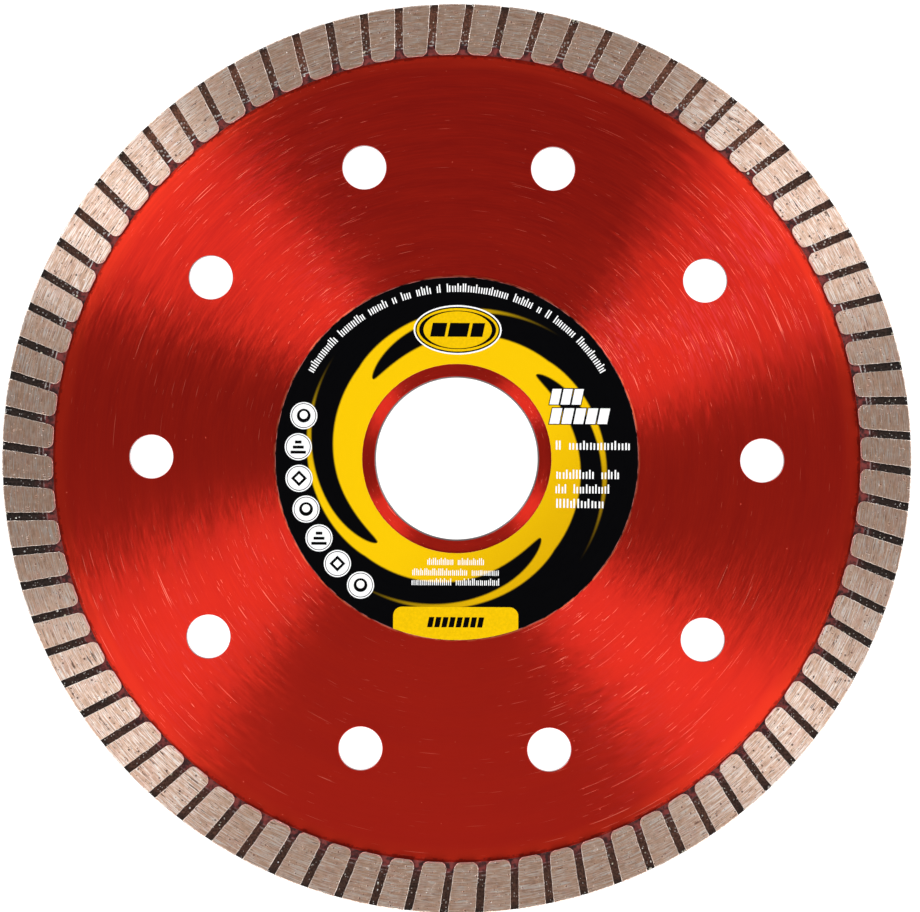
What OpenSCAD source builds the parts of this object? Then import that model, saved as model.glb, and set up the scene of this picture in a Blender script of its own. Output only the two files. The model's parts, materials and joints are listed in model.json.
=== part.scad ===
// Continuous-rim turbo diamond blade for cutting tile and stone on an angle grinder.
// The blade lies flat: Z is the arbor axis, z = 0 is mid-thickness, and the labelled face looks up.

/* [Blade] */
// Outer diameter of the cutting rim
blade_d = 125; // [115:0.5:140]
// Radial height of the diamond segments
segment_h = 7; // [6:0.5:8]
// Arbor bore diameter
bore_d = 22.23; // [20:0.01:24]

/* [Steel core] */
// Thickness of the steel core
core_t = 1.4; // [1.2:0.1:1.6]
// Bevel on both edges of the arbor bore
bore_bevel = 0.1; // [0.05:0.05:0.2]
// Number of cooling holes
hole_count = 10; // [6:1:12]
// Diameter of each cooling hole
hole_d = 6; // [4:0.5:8]
// Diameter of the circle that the cooling holes lie on
hole_pcd = 84; // [76:1:90]
// Radius of the keying notches in the core's edge
notch_r = 0.4; // [0.3:0.05:0.45]

/* [Diamond rim] */
// Total thickness across the front and back pads
rim_t = 2.2; // [2:0.1:2.4]
// How far the pads reach inwards over the core's face
rim_overlap = 1.5; // [1.3:0.1:1.8]
// Number of turbo grooves on each face
groove_count = 80; // [60:10:80]
// Width of each groove
groove_w = 1.1; // [0.8:0.1:1.2]
// Depth of each groove below the pad faces
groove_depth = 0.8; // [0.6:0.05:0.8]
// Lean of the grooves away from the radial direction, in degrees
groove_lean = 7; // [0:1:12]
// Radius of the rounded inner corners of the pads
pad_corner_r = 0.9; // [0.5:0.1:1]
// Bevel round both outer edges of the rim
rim_bevel = 0.12; // [0.05:0.01:0.2]

/* [Diamond grit] */
// Width of a diamond crystal
grit_w = 0.36; // [0.25:0.01:0.4]
// Exposed crystals on each pad
grit_per_pad = 1; // [1:1:2]

/* [Lacquer and label] */
// Thickness of each lacquer coat
lacquer_t = 0.05; // [0.03:0.01:0.1]
// Outer diameter of the label
label_d = 50; // [44:1:56]
// Inner diameter of the label
label_bore_d = 26; // [25.5:0.5:30]
// Thickness of the label
label_t = 0.12; // [0.08:0.01:0.15]

/* [Hidden] */

$fn = 72;
big_fn = 360;                            // roundness of the large circles
corner_bite = 0.96;                      // a pad corner's centre is this share of its radius from the pad's sides
cut = 1;                                 // how far a cutter runs past the face that it cuts

blade_r = blade_d / 2;
pad_inner_r = blade_r - segment_h;       // the pads end here, on the core's face
core_r = pad_inner_r + rim_overlap;      // the core's edge lies inside the rim
groove_floor_z = rim_t / 2 - groove_depth;
lacquer_bore_r = bore_d / 2 + 2 * bore_bevel;

groove_pitch = 360 / groove_count;
groove_start = 3.2;                      // angle of the first front groove at the outer edge
back_stagger = groove_pitch / 2;         // the back grooves lie midway between the front ones
// Angle by which a groove's centre line has turned where it crosses the core's edge.
lean_at_core = groove_lean - asin(blade_r / core_r * sin(groove_lean));
// The keys sit a quarter pitch on, clear of the front and the back grooves.
key_start = groove_start - lean_at_core + groove_pitch / 4;

// The crystals keep this far from the ends and the sides of their pad.
grit_margin = 0.5;
pad_half_w = (core_r * groove_pitch * PI / 180 - groove_w) / 2 - grit_margin;
// Within its cell of the pad, a crystal lies between these shares of the cell's length.
cell_shares = [0.1, 0.9];
front_seed = 7;
back_seed = 17;

// Centre of the rounding of the pad corner on the given side (1 or -1) of a groove. The rounding
// just crosses the groove's wall and the circle on which the pads end, whose centre is hub.
function corner_centre(side, hub) =
    let (y = side * (groove_w / 2 + corner_bite * pad_corner_r),
         r = pad_inner_r + corner_bite * pad_corner_r)
    [hub.x + sqrt(pow(r, 2) - pow(y - hub.y, 2)), y];

// One groove in plan, about the point where its centre line leaves the outer edge.
// It opens out at its inner end, where the pads' corners are rounded.
module groove_outline() {
    hub = -blade_r * [cos(groove_lean), sin(groove_lean)];
    left = corner_centre(1, hub);
    right = corner_centre(-1, hub);
    inner_x = -segment_h - cut;
    translate([inner_x, -groove_w / 2])
        square([cut - inner_x, groove_w]);
    difference() {
        polygon([[inner_x, left.y], left, [left.x, 0], [right.x, 0], right, [inner_x, right.y]]);
        translate(left)
            circle(r = pad_corner_r);
        translate(right)
            circle(r = pad_corner_r);
    }
}

// Places its children once for each groove, where the groove leaves the outer edge.
module at_grooves(first) {
    for (i = [0:groove_count - 1])
        rotate(first + i * groove_pitch)
            translate([blade_r, 0])
                rotate(-groove_lean)
                    children();
}

module groove_cutters(first) {
    at_grooves(first)
        translate([0, 0, groove_floor_z])
            linear_extrude(groove_depth + cut)
                groove_outline();
}

// The round keys of rim metal that lock the rim to the notched edge of the core.
module keys(height) {
    for (i = [0:groove_count - 1])
        rotate(key_start + i * groove_pitch)
            translate([core_r, 0, -height / 2])
                cylinder(r = notch_r, h = height);
}

// One crystal's place: distance inwards along the groove direction, offset to the side, and turn.
function grit_places(seed) =
    let (n = groove_count * grit_per_pad,
         cell = (segment_h - 2 * grit_margin) / grit_per_pad,
         depth = rands(cell_shares[0], cell_shares[1], n, seed),
         side = rands(-pad_half_w, pad_half_w, n, seed + 1),
         turn = rands(0, 90, n, seed + 2))
    [for (i = [0:n - 1])
        [-grit_margin - cell * ((i % grit_per_pad) + depth[i]), side[i], turn[i]]];

// Crystals sunk in the pads of one face. proud lengthens them past the face, to cut their pockets.
module grit_field(first, seed, proud) {
    places = grit_places(seed);
    for (i = [0:len(places) - 1])
        rotate(first + groove_pitch / 2 + floor(i / grit_per_pad) * groove_pitch)
            translate([blade_r, 0])
                rotate(-groove_lean)
                    translate([places[i].x, places[i].y, rim_t / 2 - grit_w])
                        rotate(places[i].z)
                            translate([-grit_w / 2, -grit_w / 2, 0])
                                cube([grit_w, grit_w, grit_w + proud]);
}

module all_grit(proud) {
    grit_field(groove_start, front_seed, proud);
    mirror([0, 0, 1])
        grit_field(groove_start + back_stagger, back_seed, proud);
}

// Cutters for the circle of cooling holes.
module cooling_holes(height) {
    for (i = [0:hole_count - 1])
        rotate(i * 360 / hole_count)
            translate([hole_pcd / 2, 0, 0])
                cylinder(d = hole_d, h = height, center = true);
}

// Hardened steel disc with the arbor bore, the cooling holes and a notched edge.
module steel_core() {
    color([0.62, 0.62, 0.63])
    difference() {
        cylinder(r = core_r, h = core_t, center = true, $fn = big_fn);
        cylinder(d = bore_d, h = core_t + 2 * cut, center = true, $fn = big_fn);
        for (side = [0, 1])
            mirror([0, 0, side])
                translate([0, 0, core_t / 2 - bore_bevel])
                    cylinder(r1 = bore_d / 2, r2 = bore_d / 2 + bore_bevel + cut, h = bore_bevel + cut,
                             $fn = big_fn);
        cooling_holes(core_t + 2 * cut);
        keys(core_t + 2 * cut);
    }
}

// One sintered ring: a web beyond the core's edge, with pads on both faces that straddle the core.
module diamond_rim() {
    color([0.66, 0.59, 0.53])
    difference() {
        union() {
            rotate_extrude($fn = big_fn)
                polygon([
                    [core_r, -core_t / 2], [pad_inner_r, -core_t / 2], [pad_inner_r, -rim_t / 2],
                    [blade_r - rim_bevel, -rim_t / 2], [blade_r, -rim_t / 2 + rim_bevel],
                    [blade_r, rim_t / 2 - rim_bevel], [blade_r - rim_bevel, rim_t / 2],
                    [pad_inner_r, rim_t / 2], [pad_inner_r, core_t / 2], [core_r, core_t / 2]]);
            keys(core_t);
        }
        groove_cutters(groove_start);
        mirror([0, 0, 1])
            groove_cutters(groove_start + back_stagger);
        all_grit(cut);
    }
}

// Synthetic diamond crystals, ground flush with the pads that hold them.
module diamond_grit() {
    color([0.86, 0.84, 0.72])
        all_grit(0);
}

// A coat of lacquer on the upper face of the core.
module lacquer_coat() {
    translate([0, 0, core_t / 2])
        difference() {
            cylinder(r = pad_inner_r, h = lacquer_t, $fn = big_fn);
            translate([0, 0, -cut])
                cylinder(r = lacquer_bore_r, h = lacquer_t + 2 * cut, $fn = big_fn);
            cooling_holes(2 * cut);
        }
}

module front_lacquer() {
    color([0.72, 0.09, 0.07])
        lacquer_coat();
}

module back_lacquer() {
    color([0.72, 0.09, 0.07])
        mirror([0, 0, 1])
            lacquer_coat();
}

// Printed ring stuck on the front lacquer, round the arbor bore.
module front_label() {
    color([0.08, 0.08, 0.08])
        translate([0, 0, core_t / 2 + lacquer_t])
            difference() {
                cylinder(d = label_d, h = label_t, $fn = big_fn);
                translate([0, 0, -cut])
                    cylinder(d = label_bore_d, h = label_t + 2 * cut, $fn = big_fn);
            }
}

steel_core();
diamond_rim();
diamond_grit();
front_lacquer();
back_lacquer();
front_label();
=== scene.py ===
"""Looks for the turbo diamond blade: meshes, materials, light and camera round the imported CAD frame."""
import json
import math
import random

import bmesh
import bpy
from mathutils import Euler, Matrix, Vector


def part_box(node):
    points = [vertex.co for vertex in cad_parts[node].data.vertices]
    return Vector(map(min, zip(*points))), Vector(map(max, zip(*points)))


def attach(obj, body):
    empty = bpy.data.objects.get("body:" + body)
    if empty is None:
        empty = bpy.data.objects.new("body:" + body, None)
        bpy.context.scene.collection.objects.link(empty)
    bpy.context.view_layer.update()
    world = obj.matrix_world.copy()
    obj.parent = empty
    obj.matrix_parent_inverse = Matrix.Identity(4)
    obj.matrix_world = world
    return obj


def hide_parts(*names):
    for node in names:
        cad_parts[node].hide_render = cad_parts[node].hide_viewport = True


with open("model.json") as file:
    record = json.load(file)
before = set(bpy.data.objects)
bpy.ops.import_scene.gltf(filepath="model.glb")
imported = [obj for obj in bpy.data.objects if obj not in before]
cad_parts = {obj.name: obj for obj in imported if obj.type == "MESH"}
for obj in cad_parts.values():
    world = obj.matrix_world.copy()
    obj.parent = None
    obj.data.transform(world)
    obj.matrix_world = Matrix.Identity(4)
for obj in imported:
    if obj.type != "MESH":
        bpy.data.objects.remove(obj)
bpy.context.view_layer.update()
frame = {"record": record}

# ------------------------ sizes, in millimetres
# Those that the frame doesn't hold are as in part.scad.
MM = 0.001


def radius_of(node):
    return round(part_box(node)[1].x / MM, 1)


def top_of(node):
    return round(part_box(node)[1].z / MM, 3)


BLADE_R = radius_of("diamond_rim")
CORE_R = radius_of("steel_core")
PAD_INNER_R = radius_of("front_lacquer")
LABEL_R = radius_of("front_label")
LABEL_BORE_R = 13.0
BORE_R = frame["record"]["mounts"][0]["dims"]["r_mm"]
PAD_Z = top_of("diamond_rim")
CORE_Z = top_of("steel_core")
LACQUER_Z = top_of("front_lacquer")
LABEL_Z = top_of("front_label")
LACQUER_BORE_R = BORE_R + 0.2

HOLES = 10
HOLE_R = 3.0
HOLE_RING_R = 42.0

GROOVES = 80
PITCH = 2 * math.pi / GROOVES
GROOVE_W = 1.1
GROOVE_FLOOR_Z = PAD_Z - 0.8
GROOVE_LEAN = math.radians(7)
GROOVE_START = math.radians(3.2)
PAD_CORNER_R = 0.9
RIM_BEVEL = 0.12

# wear and rounding
BEVEL_WEAR = (0.85, 1.15)                # shares of the rim's bevel between which it varies
EDGE_WEAR = (0.03, 0.075)                # least and most that a pad's other arrises are worn back
DEEPEST_WEAR = 0.06
MID_BEVEL = 0.3                          # share of a worn arris at which its slope changes
WALL_WANDER = 0.028
CORE_ROUND, BORE_BEVEL, HOLE_ROUND, LABEL_ROUND = 0.2, 0.1, 0.04, 0.03
SOFT_SHARE = 0.8                         # share of the lacquer's thickness that its edge is rounded by
LACQUER_GAP, LACQUER_HOLE_GAP = 0.01, 0.03

# how finely the round shapes are cut into straight sides
BLADE_SIDES, LABEL_SIDES, LABEL_BORE_SIDES, BORE_SIDES, HOLE_SIDES = 720, 512, 320, 256, 96
EDGE_STEPS = 3
PAD_ARC_STEPS, FLOOR_ARC_STEPS, CORNER_STEPS = 8, 3, 7
LEDGE = 10                               # straight sides of a groove's wall as far as the core's edge

FLAT_FACE = 0.9999                       # a face whose normal is closer to Z than this stays flat
MERGE_M = 1e-7                           # points closer than this become one
SHORTEST = 1e-6


# ------------------------ mesh helpers
def make_piece(name, shell, node, materials, smooth_deg=35):
    """A closed mesh from a shell in millimetres, riding on the blade in place of a CAD node if one is
    given."""
    mesh = bpy.data.meshes.new(name)
    mesh.from_pydata([(x * MM, y * MM, z * MM) for x, y, z in shell.verts], [], shell.faces)
    for material in materials:
        mesh.materials.append(material)
    mesh.polygons.foreach_set("material_index", shell.slots)
    bm = bmesh.new()
    bm.from_mesh(mesh)
    bmesh.ops.remove_doubles(bm, verts=bm.verts, dist=MERGE_M)
    bmesh.ops.recalc_face_normals(bm, faces=bm.faces)
    bm.to_mesh(mesh)
    bm.free()
    mesh.set_sharp_from_angle(angle=math.radians(smooth_deg))
    smooth = [abs(face.normal.z) < FLAT_FACE for face in mesh.polygons]
    mesh.polygons.foreach_set("use_smooth", smooth)
    piece = bpy.data.objects.new(name, mesh)
    bpy.context.scene.collection.objects.link(piece)
    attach(piece, "root")
    if node:
        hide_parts(node)


def circle(radius, count, centre=(0.0, 0.0)):
    return [(centre[0] + radius * math.cos(2 * math.pi * i / count),
             centre[1] + radius * math.sin(2 * math.pi * i / count)) for i in range(count)]


def at_height(points, z):
    return [(x, y, z) for x, y in points]


def fill(loops, z, up):
    """Triangles between an outer loop and the loops inside it, all at one height."""
    bm = bmesh.new()
    edges = []
    for loop in loops:
        ring = [bm.verts.new((x, y, 0)) for x, y in loop]
        edges += [bm.edges.new(pair) for pair in zip(ring, ring[1:] + ring[:1])]
    bmesh.ops.triangle_fill(bm, use_beauty=True, use_dissolve=False, edges=edges, normal=(0, 0, 1))
    bm.verts.index_update()
    verts = [(v.co.x, v.co.y, z) for v in bm.verts]
    faces = [[v.index for v in (f.verts if up else reversed(f.verts))] for f in bm.faces]
    bm.free()
    return verts, faces


class Shell:
    """Collects points and faces for one piece; doubles are merged when it is made."""

    def __init__(self):
        self.verts, self.faces, self.slots = [], [], []

    def add(self, verts, faces, slot=0):
        base = len(self.verts)
        self.verts += verts
        self.faces += [[base + i for i in face] for face in faces]
        self.slots += [slot] * len(faces)

    def face(self, points, slot=0):
        self.add(points, [list(range(len(points)))], slot)

    def band(self, lower, upper, slot=0):
        """A closed strip of quads between two loops of points of the same length."""
        n = len(lower)
        self.add(lower + upper, [[i, (i + 1) % n, n + (i + 1) % n, n + i] for i in range(n)], slot)

    def plate(self, outlines):
        """A flat plate. Each outline is a list of rows (points, z) from its top edge to its bottom edge,
        and the first outline is the outer one."""
        for face, up in ((0, True), (-1, False)):
            z = outlines[0][face][1]
            self.add(*fill([rows[face][0] for rows in outlines], z, up))
        for rows in outlines:
            for (above, za), (below, zb) in zip(rows, rows[1:]):
                self.band(at_height(below, zb), at_height(above, za))


OUTER, HOLE = 1, -1


def rounded_edge(radius, sides, z_top, z_bottom, round_top, round_bottom, kind, centre=(0, 0)):
    """Rows of a circular edge, OUTER or HOLE, whose top and bottom corners are rounded."""
    quarter = [math.pi / 2 * i / EDGE_STEPS for i in range(EDGE_STEPS + 1)]
    corner = [(round_top * (1 - math.sin(a)), z_top - round_top * (1 - math.cos(a))) for a in quarter]
    corner += [(round_bottom * (1 - math.cos(a)), z_bottom + round_bottom * (1 - math.sin(a)))
               for a in quarter]
    return [(circle(radius - kind * inset, sides, centre), z) for inset, z in corner]


# ------------------------ shader helpers
class Shader:
    """A material's node tree, with short calls for the nodes that the materials share."""

    def __init__(self, name, **constants):
        self.material = bpy.data.materials.new(name)
        self.material.use_nodes = True
        self.tree = self.material.node_tree
        self.bsdf = self.tree.nodes["Principled BSDF"]
        for socket, value in constants.items():
            self.bsdf.inputs[socket.replace("_", " ")].default_value = value
        self._polar = None

    def node(self, kind, inputs=(), **settings):
        made = self.tree.nodes.new("ShaderNode" + kind)
        for key, value in settings.items():
            setattr(made, key, value)
        for key, value in dict(inputs).items():
            self.put(made.inputs[key], value)
        return made

    def put(self, socket, value):
        if isinstance(value, bpy.types.NodeSocket):
            self.tree.links.new(value, socket)
        else:
            socket.default_value = value

    def set(self, **sockets):
        for socket, value in sockets.items():
            self.put(self.bsdf.inputs[socket.replace("_", " ")], value)

    def math(self, operation, a, b=0.0, c=0.0, clamp=False):
        return self.node("Math", {0: a, 1: b, 2: c}, operation=operation, use_clamp=clamp).outputs[0]

    def times(self, first, *others):
        """The product of all the values."""
        for other in others:
            first = self.math("MULTIPLY", first, other)
        return first

    def vector(self, operation, a, b=(0, 0, 0)):
        return self.node("VectorMath", {0: a, 1: b}, operation=operation).outputs[0]

    def scaled(self, vector, factor):
        return self.node("VectorMath", {0: vector, "Scale": factor}, operation="SCALE").outputs[0]

    def step(self, value, low, high, out_low=0.0, out_high=1.0):
        """Smooth rise from out_low at low to out_high at high."""
        return self.node("MapRange", {"Value": value, "From Min": low, "From Max": high,
                                      "To Min": out_low, "To Max": out_high},
                         interpolation_type="SMOOTHSTEP").outputs[0]

    def mix(self, share, a, b):
        """Colour a where share is 0, and colour b where it is 1."""
        made = self.node("Mix", data_type="RGBA", clamp_factor=True)
        for key, value in ((0, share), (6, a), (7, b)):
            self.put(made.inputs[key], value)
        return made.outputs[2]

    def blend(self, share, a, b):
        """Number a where share is 0, and number b where it is 1."""
        made = self.node("Mix", data_type="FLOAT")
        for key, value in ((0, share), (2, a), (3, b)):
            self.put(made.inputs[key], value)
        return made.outputs[0]

    @property
    def polar(self):
        """Distance from the axis in mm, the unit direction from it, and the point in mm."""
        if self._polar is None:
            point = self.scaled(self.node("TexCoord").outputs["Object"], 1 / MM)
            flat = self.vector("MULTIPLY", point, (1, 1, 0))
            distance = self.node("VectorMath", {0: flat}, operation="LENGTH").outputs["Value"]
            self._polar = (distance, self.vector("NORMALIZE", flat), point)
        return self._polar

    def along(self, axis):
        """The point's place along an axis, in mm."""
        return self.node("SeparateXYZ", {0: self.polar[2]}).outputs[axis]

    @property
    def azimuth(self):
        """Angle round the axis from +X, in radians."""
        return self.math("ARCTAN2", self.along("Y"), self.along("X"))

    def noise(self, vector, scale, detail, roughness):
        return self.node("TexNoise", {"Vector": vector, "Scale": scale, "Detail": detail,
                                      "Roughness": roughness}).outputs[0]

    def streaks(self, across, around, detail=2.0, seed=0.0, roughness=0.5):
        """Noise drawn out round the axis. across is its grain per mm outwards, and around is its grain
        per radian."""
        r, unit, _ = self.polar
        lift = self.node("CombineXYZ", {"Z": self.math("MULTIPLY_ADD", r, across, seed)}).outputs[0]
        vector = self.vector("ADD", self.scaled(unit, around), lift)
        return self.noise(vector, 1.0, detail, roughness)

    def grain(self, per_mm, detail=2.0, roughness=0.5, offset=0.0):
        """Noise with the same grain every way."""
        point = self.polar[2]
        if offset:
            point = self.vector("ADD", point, (offset, offset, offset))
        return self.noise(point, per_mm, detail, roughness)

    def specks(self, per_mm, reach, share, offset=0.0):
        """Round spots of reach mm in a share of the cells of a grid of per_mm cells."""
        point = self.vector("ADD", self.polar[2], (offset, offset, 0))
        cells = self.node("TexVoronoi", {"Vector": point, "Scale": per_mm, "Randomness": 1.0})
        near = self.step(cells.outputs["Distance"], reach * per_mm, reach * per_mm * 0.5)
        pick = self.node("SeparateXYZ", {0: cells.outputs["Color"]}).outputs[0]
        return self.times(near, self.math("LESS_THAN", pick, share))

    def bump(self, height, distance_mm):
        return self.node("Bump", {"Height": height, "Distance": distance_mm * MM}).outputs[0]

    def across_marks(self, swirl):
        """The direction that highlights stretch in: across marks that run round the axis, when the marks
        lean from a true circle by the angle swirl."""
        return self.node("VectorRotate", {"Vector": self.polar[1], "Angle": swirl},
                         rotation_type="Z_AXIS", invert=True).outputs[0]


# ------------------------ materials
# angles, in radians, by which the marks of grinding lean from true circles
GRIND_SWIRL_FROM_R = 34.0                # no lean at this radius
GRIND_SWIRL_PER_MM = math.radians(0.25)
GRIND_SWIRL_AT_BORE = math.radians(17)   # comes on under the label
FINE_WANDER, HAIR_WANDER = 0.07, 0.05
PAD_SWIRL = math.radians(8.8)
PAD_WANDER = 0.12

# the sectors of painted highlight on the lacquer, where the soft boxes' wedges fall: how many, the first
# one's azimuth, and the others' share
PAINTED_GLINT_SECTORS, PAINTED_GLINT_FROM, PAINTED_GLINT_LESS = 4, math.radians(33), 0.55


def ink(*channels):
    """A colour given the way an image shows it, 0 to 255 a channel."""
    shown = [channel / 255 for channel in channels]
    return tuple(c / 12.92 if c < 0.04045 else ((c + 0.055) / 1.055) ** 2.4 for c in shown) + (1,)


def red_lacquer():
    """Translucent red over steel that was ground with marks that wander a little from true circles."""
    s = Shader("red_lacquer", Metallic=1.0, Anisotropic=1.0, Coat_Weight=0.08, Coat_Roughness=0.25)
    r = s.polar[0]
    fine = s.streaks(4.0, 9.0, 4.0, roughness=0.7)
    hair = s.streaks(9.0, 24.0, 2.0, seed=20.0)
    broad = s.streaks(0.7, 2.0, 2.0, seed=40.0)
    swirl = s.math("MULTIPLY_ADD", r, GRIND_SWIRL_PER_MM, -GRIND_SWIRL_FROM_R * GRIND_SWIRL_PER_MM)
    swirl = s.math("ADD", swirl, s.step(r, LABEL_R - 4, BORE_R, 0.0, GRIND_SWIRL_AT_BORE))
    swirl = s.math("ADD", swirl, s.step(fine, 0.25, 0.75, -FINE_WANDER, FINE_WANDER))
    swirl = s.math("ADD", swirl, s.step(hair, 0.25, 0.75, -HAIR_WANDER, HAIR_WANDER))

    # painted light: the coat is lighter towards -Y
    lean = s.step(s.along("Y"), PAD_INNER_R, -PAD_INNER_R)
    base = s.mix(lean, (0.525, 0.0172, 0.0115, 1), (0.77, 0.0285, 0.0162, 1))
    base = s.mix(s.step(broad, 0.3, 0.7, 0.0, 0.35), base, (0.71, 0.0280, 0.0122, 1))
    base = s.mix(s.step(fine, 0.35, 0.8, 0.0, 0.5), base, (0.78, 0.0335, 0.0143, 1))

    # painted highlight: a pinkish sheen and more scratches in four sectors facing the soft boxes, most of
    # all in the first
    from_first = s.math("SUBTRACT", s.azimuth, PAINTED_GLINT_FROM)
    sectors = s.step(s.math("COSINE", s.times(from_first, PAINTED_GLINT_SECTORS)), 0.1, 1.0)
    worn = s.times(sectors, s.step(s.math("COSINE", from_first), 0.85, 0.97, PAINTED_GLINT_LESS, 1.0))
    clouds = s.step(s.grain(0.16, 3.0, offset=9.0), 0.38, 0.62)
    glint_streaks = s.step(s.streaks(5.0, 16.0, 3.0, seed=60.0), 0.45, 0.65)
    base = s.mix(s.times(worn, worn, clouds, glint_streaks, 0.75), base, (0.70, 0.045, 0.048, 1))

    # it is redder near the rim, and ends there in dark blots and in painted shade at the foot of the pads'
    # raised inner ends
    near_rim = s.step(r, PAD_INNER_R - 2.6, PAD_INNER_R - 1.0)
    base = s.mix(s.times(near_rim, s.step(broad, 0.25, 0.6, 0.35, 0.75)), base, (0.83, 0.040, 0.0155, 1))
    blots = s.times(s.step(s.grain(1.3, 2.0, offset=15.0), 0.48, 0.6),
                    s.step(r, PAD_INNER_R - 0.6, PAD_INNER_R - 0.3), 0.55)
    painted_shade_seam = s.step(r, PAD_INNER_R - 0.4, PAD_INNER_R - 0.15, 0.0, 0.5)
    base = s.mix(s.math("MAXIMUM", blots, painted_shade_seam), base, (0.09, 0.006, 0.006, 1))

    # on the front, a painted highlight in places round the label's edge
    painted_glint_round_label = s.times(s.step(r, LABEL_R + 0.25, LABEL_R + 0.12), s.math("GREATER_THAN", r, LABEL_R - 0.2),
                   s.step(s.streaks(1.0, 12.0, seed=33.0), 0.4, 0.6))
    painted_glint_round_label = s.times(painted_glint_round_label, s.math("GREATER_THAN", s.along("Z"), 0.0))
    base = s.mix(painted_glint_round_label, base, (0.95, 0.16, 0.07, 1))

    # scratches run all round, but the painted highlight sectors make them denser there
    scratches = 0.0
    for across, around, least, seed in ((9.0, 6.0, 0.735, 80.0), (12.0, 20.0, 0.76, 120.0)):
        depth = s.math("MULTIPLY_ADD", worn, 0.06, s.streaks(across, around, 1.0, seed))
        scratches = s.math("MAXIMUM", scratches, s.step(depth, least, least + 0.05))
    base = s.mix(scratches, base, (0.97, 0.20, 0.135, 1))
    dust = s.specks(1.1, 0.09, 0.05)
    base = s.mix(s.times(dust, 0.7), base, (1.0, 0.22, 0.14, 1))

    rough = s.blend(scratches, s.blend(s.step(broad, 0.3, 0.7), 0.32, 0.35), 0.38)
    height = s.math("MULTIPLY_ADD", dust, 3.0, s.math("SUBTRACT", fine, scratches))
    s.set(Base_Color=base, Roughness=rough, Tangent=s.across_marks(swirl), Normal=s.bump(height, 0.003))
    return s.material


def bare_steel():
    """The core where no lacquer lies: hole walls, and the ring between the pads, which is dusty with
    overspray and has a painted highlight in places next to the rim, mostly towards +Y."""
    s = Shader("core_steel", Anisotropic=0.5, Specular_IOR_Level=0.25)
    r = s.polar[0]
    fine = s.streaks(8.0, 8.0, 3.0)
    blotch = s.grain(1.6, 3.0, offset=4.0)
    steel = s.mix(fine, (0.16, 0.155, 0.15, 1), (0.36, 0.355, 0.35, 1))
    # painted highlight: the core's rounded edge is lightened in blotches, more towards +Y
    bright = s.times(s.step(r, CORE_R - 0.24, CORE_R - 0.16), s.step(blotch, 0.4, 0.56, 0.1, 0.9),
                     s.step(s.along("Y"), -15.0, 30.0, 0.25, 1.0))
    steel = s.mix(bright, steel, (0.85, 0.83, 0.8, 1))
    spray = s.times(s.step(r, PAD_INNER_R - 0.4, PAD_INNER_R - 0.1), s.math("SUBTRACT", 1.0, bright))
    dirt = s.mix(s.step(blotch, 0.35, 0.65), (0.030, 0.008, 0.008, 1), (0.20, 0.034, 0.030, 1))
    rough = s.blend(spray, s.blend(blotch, 0.3, 0.5), 0.65)
    s.set(Base_Color=s.mix(spray, steel, dirt), Metallic=s.blend(spray, 1.0, 0.1), Roughness=rough,
          Tangent=s.across_marks(0.0), Normal=s.bump(s.math("ADD", fine, blotch), 0.01))
    return s.material


def ground_bond():
    """The pads' faces: sintered bond ground smooth, with grind lines, pits where crystals fell out,
    and a pink bloom of overspray at the inner end."""
    s = Shader("ground_bond", Metallic=1.0)
    r = s.polar[0]
    lines = s.streaks(6.0, 14.0, 3.0, seed=7.0, roughness=0.6)
    hair = s.streaks(11.0, 26.0, 2.0, seed=31.0)
    cloud = s.grain(0.45, 2.0, offset=3.0)
    mottle = s.grain(1.6, 3.0, 0.6, offset=21.0)
    swirl = PAD_SWIRL
    for marks in (lines, hair):
        swirl = s.math("ADD", swirl, s.times(s.math("SUBTRACT", marks, 0.5), PAD_WANDER))

    base = s.mix(s.step(lines, 0.3, 0.7), (0.605, 0.380, 0.270, 1), (0.74, 0.480, 0.348, 1))
    base = s.mix(s.step(cloud, 0.5, 0.3, 0.0, 0.35), base, (0.70, 0.42, 0.34, 1))
    base = s.mix(s.step(mottle, 0.5, 0.3, 0.0, 0.45), base, (0.42, 0.265, 0.20, 1))
    base = s.mix(s.step(mottle, 0.52, 0.7, 0.0, 0.5), base, (0.86, 0.66, 0.53, 1))
    base = s.mix(s.step(hair, 0.44, 0.3, 0.0, 0.5), base, (0.36, 0.23, 0.17, 1))
    glint = s.step(hair, 0.50, 0.62)
    base = s.mix(s.times(glint, 0.62), base, (1.0, 0.99, 0.96, 1))

    pits = s.math("MAXIMUM", s.specks(1.0, 0.2, 0.6), s.specks(2.4, 0.1, 0.4, offset=5.0))
    scores = s.times(s.step(s.streaks(4.0, 26.0, 2.0, seed=52.0), 0.65, 0.7), 0.85)
    base = s.mix(s.math("MAXIMUM", s.times(pits, 0.85), scores), base, (0.12, 0.058, 0.040, 1))
    sparks = s.specks(1.7, 0.1, 0.16, offset=12.0)
    base = s.mix(sparks, base, (1.0, 0.98, 0.94, 1))
    bloom = s.times(s.step(r, PAD_INNER_R + 0.35, PAD_INNER_R + 0.08),
                    s.step(s.grain(1.1, 2.0, offset=8.0), 0.35, 0.6), 0.7)
    base = s.mix(bloom, base, (0.86, 0.36, 0.32, 1))

    height = s.math("SUBTRACT", s.math("ADD", lines, s.times(hair, 0.5)),
                    s.math("MULTIPLY_ADD", pits, 4.0, s.times(scores, 2.0)))
    dull = s.math("MAXIMUM", pits, scores)
    s.set(Base_Color=base, Roughness=s.blend(dull, s.blend(glint, 0.43, 0.33), 0.7),
          Anisotropic=s.blend(dull, s.blend(glint, 0.95, 1.0), 0.3),
          Tangent=s.across_marks(swirl), Normal=s.bump(height, 0.006))
    return s.material


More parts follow.
